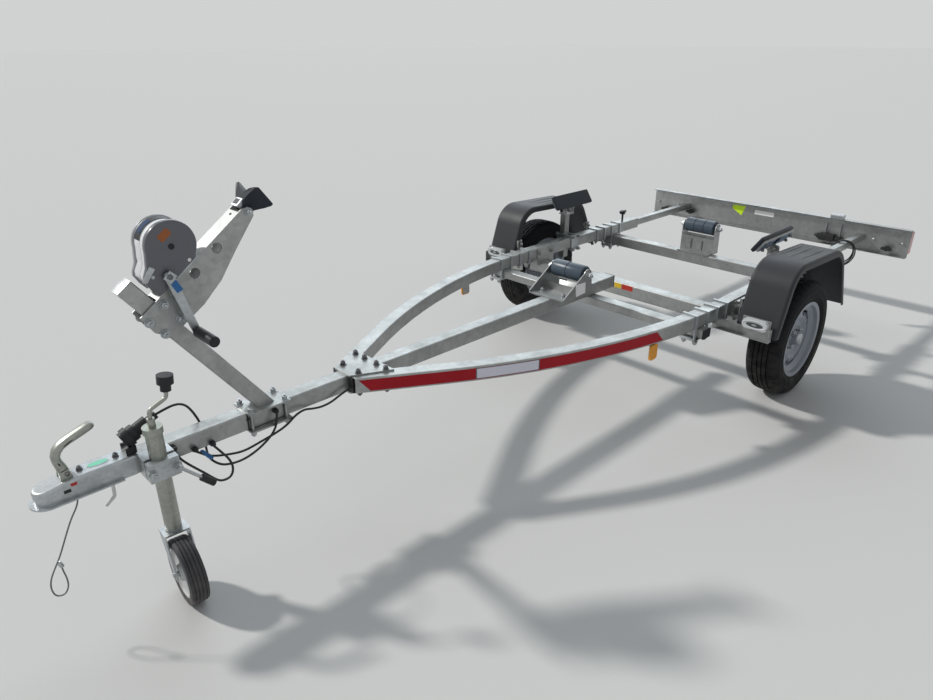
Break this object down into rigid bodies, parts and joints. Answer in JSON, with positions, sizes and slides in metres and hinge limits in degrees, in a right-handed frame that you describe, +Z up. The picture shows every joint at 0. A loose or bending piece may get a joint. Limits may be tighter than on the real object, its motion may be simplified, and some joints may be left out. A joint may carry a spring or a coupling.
{
  "type": "boat trailer",
  "caption": "Single axle boat trailer with curved side rails, keel rollers, side pads, winch post, jack and a sliding light board.",
  "frame": {"origin": "on the floor under the middle of the trailer's length and width", "axes": "+X towards the coupling at the front, +Y to the trailer's left side, +Z up"},
  "size_m": [4.4548, 1.72, 1.1815],
  "materials": {
    "galvanised": "hot-dip galvanised steel, mottled",
    "zinc_bright": "bright zinc plated steel",
    "black_plastic": "black moulded plastic",
    "guard_plastic": "dark grey black grained plastic",
    "tyre_rubber": "black road tyre",
    "rubber_black": "black moulded rubber",
    "roller_rubber": "blue black roller rubber",
    "rim_steel": "silver painted steel rim",
    "winch_grey": "dark grey satin paint",
    "lamp_red": "red lamp lens",
    "lamp_white": "clear white lamp lens",
    "reflector_orange": "orange reflector",
    "strap_grey": "woven winch strap on its drum",
    "hook_white": "white coated steel hook",
    "wheel_grey": "grey black solid rubber"
  },
  "bodies": {
    "chassis": {"drawbar": "galvanised", "rail_left": "galvanised", "rail_right": "galvanised", "gusset_plates": "galvanised", "cross_tubes": "galvanised", "end_caps": "black_plastic", "rail_clamps": "zinc_bright", "axle_beam": "galvanised", "axle_brackets": "galvanised", "swing_arms": "galvanised", "mudguard_left": "guard_plastic", "mudguard_right": "guard_plastic", "mudguard_brackets": "galvanised", "lamp_brackets": "galvanised", "front_lamps": "lamp_white", "side_reflectors": "reflector_orange", "front_roller_bracket": "galvanised", "rear_roller_bracket": "galvanised", "pad_posts": "galvanised", "winch_post": "galvanised", "winch_head": "galvanised", "bow_stop": "rubber_black", "winch_frame": "zinc_bright", "winch_covers": "winch_grey", "winch_drum": "strap_grey", "coupling_head": "zinc_bright", "coupling_handle": "zinc_bright", "wire_hook": "hook_white", "jack_clamp": "zinc_bright", "arm_sleeves": "black_plastic", "clamp_knobs": "black_plastic", "plug": "black_plastic", "plug_holder": "black_plastic", "main_cable": "black_plastic", "loop_cable": "black_plastic", "rear_cable": "black_plastic", "cable_clips": "black_plastic", "safety_wire": "zinc_bright"},
    "wheel_left_body": {"wheel_left": "rim_steel", "tyre_left": "tyre_rubber"},
    "wheel_right_body": {"wheel_right": "rim_steel", "tyre_right": "tyre_rubber"},
    "front_roller_body": {"front_roller": "roller_rubber"},
    "rear_roller_body": {"rear_roller": "roller_rubber"},
    "pad_left_body": {"pad_left": "rubber_black", "pad_frame_left": "galvanised"},
    "pad_right_body": {"pad_right": "rubber_black", "pad_frame_right": "galvanised"},
    "crank_body": {"winch_crank": "zinc_bright", "crank_grip": "black_plastic"},
    "jack_body": {"jack_tube": "zinc_bright", "jack_knob": "black_plastic"},
    "castor_body": {"jack_fork": "zinc_bright"},
    "jack_wheel_body": {"jack_wheel": "wheel_grey"},
    "board_body": {"light_board": "galvanised", "board_arms": "galvanised", "tail_lamps": "lamp_red", "board_knobs": "black_plastic", "plate_lamp": "zinc_bright", "cable_coil": "black_plastic"}
  },
  "joints": [
    {"name": "wheel_left_spin", "type": "hinge", "parent": "chassis", "child": "wheel_left_body", "pos_m": [-0.756, 0.778, 0.277], "axis": [0, 1, 0], "continuous": true},
    {"name": "wheel_right_spin", "type": "hinge", "parent": "chassis", "child": "wheel_right_body", "pos_m": [-0.756, -0.778, 0.277], "axis": [0, 1, 0], "continuous": true},
    {"name": "front_roller_spin", "type": "hinge", "parent": "chassis", "child": "front_roller_body", "pos_m": [-0.078, 0, 0.572], "axis": [0, 1, 0], "continuous": true},
    {"name": "rear_roller_spin", "type": "hinge", "parent": "chassis", "child": "rear_roller_body", "pos_m": [-1.286, 0, 0.565], "axis": [0, 1, 0], "continuous": true},
    {"name": "pad_left_tilt", "type": "hinge", "parent": "chassis", "child": "pad_left_body", "pos_m": [-0.828, 0.613, 0.647], "axis": [1, 0, 0], "range_deg": [-15, 15]},
    {"name": "pad_right_tilt", "type": "hinge", "parent": "chassis", "child": "pad_right_body", "pos_m": [-0.828, -0.613, 0.647], "axis": [1, 0, 0], "range_deg": [-15, 15]},
    {"name": "winch_crank_turn", "type": "hinge", "parent": "chassis", "child": "crank_body", "pos_m": [1.76788, 0, 0.98663], "axis": [0, 1, 0], "continuous": true},
    {"name": "jack_lift", "type": "slide", "parent": "chassis", "child": "jack_body", "axis": [0, 0, 1], "range_m": [0, 0.14]},
    {"name": "jack_castor", "type": "hinge", "parent": "jack_body", "child": "castor_body", "pos_m": [1.895, 0.077, 0.21], "axis": [0, 0, 1], "continuous": true},
    {"name": "jack_wheel_spin", "type": "hinge", "parent": "castor_body", "child": "jack_wheel_body", "pos_m": [1.89919, 0.13685, 0.105], "axis": [-0.9976, 0.0698, 0], "continuous": true},
    {"name": "light_board_slide", "type": "slide", "parent": "chassis", "child": "board_body", "axis": [1, 0, 0], "range_m": [-0.1, 0.2]}
  ]
}
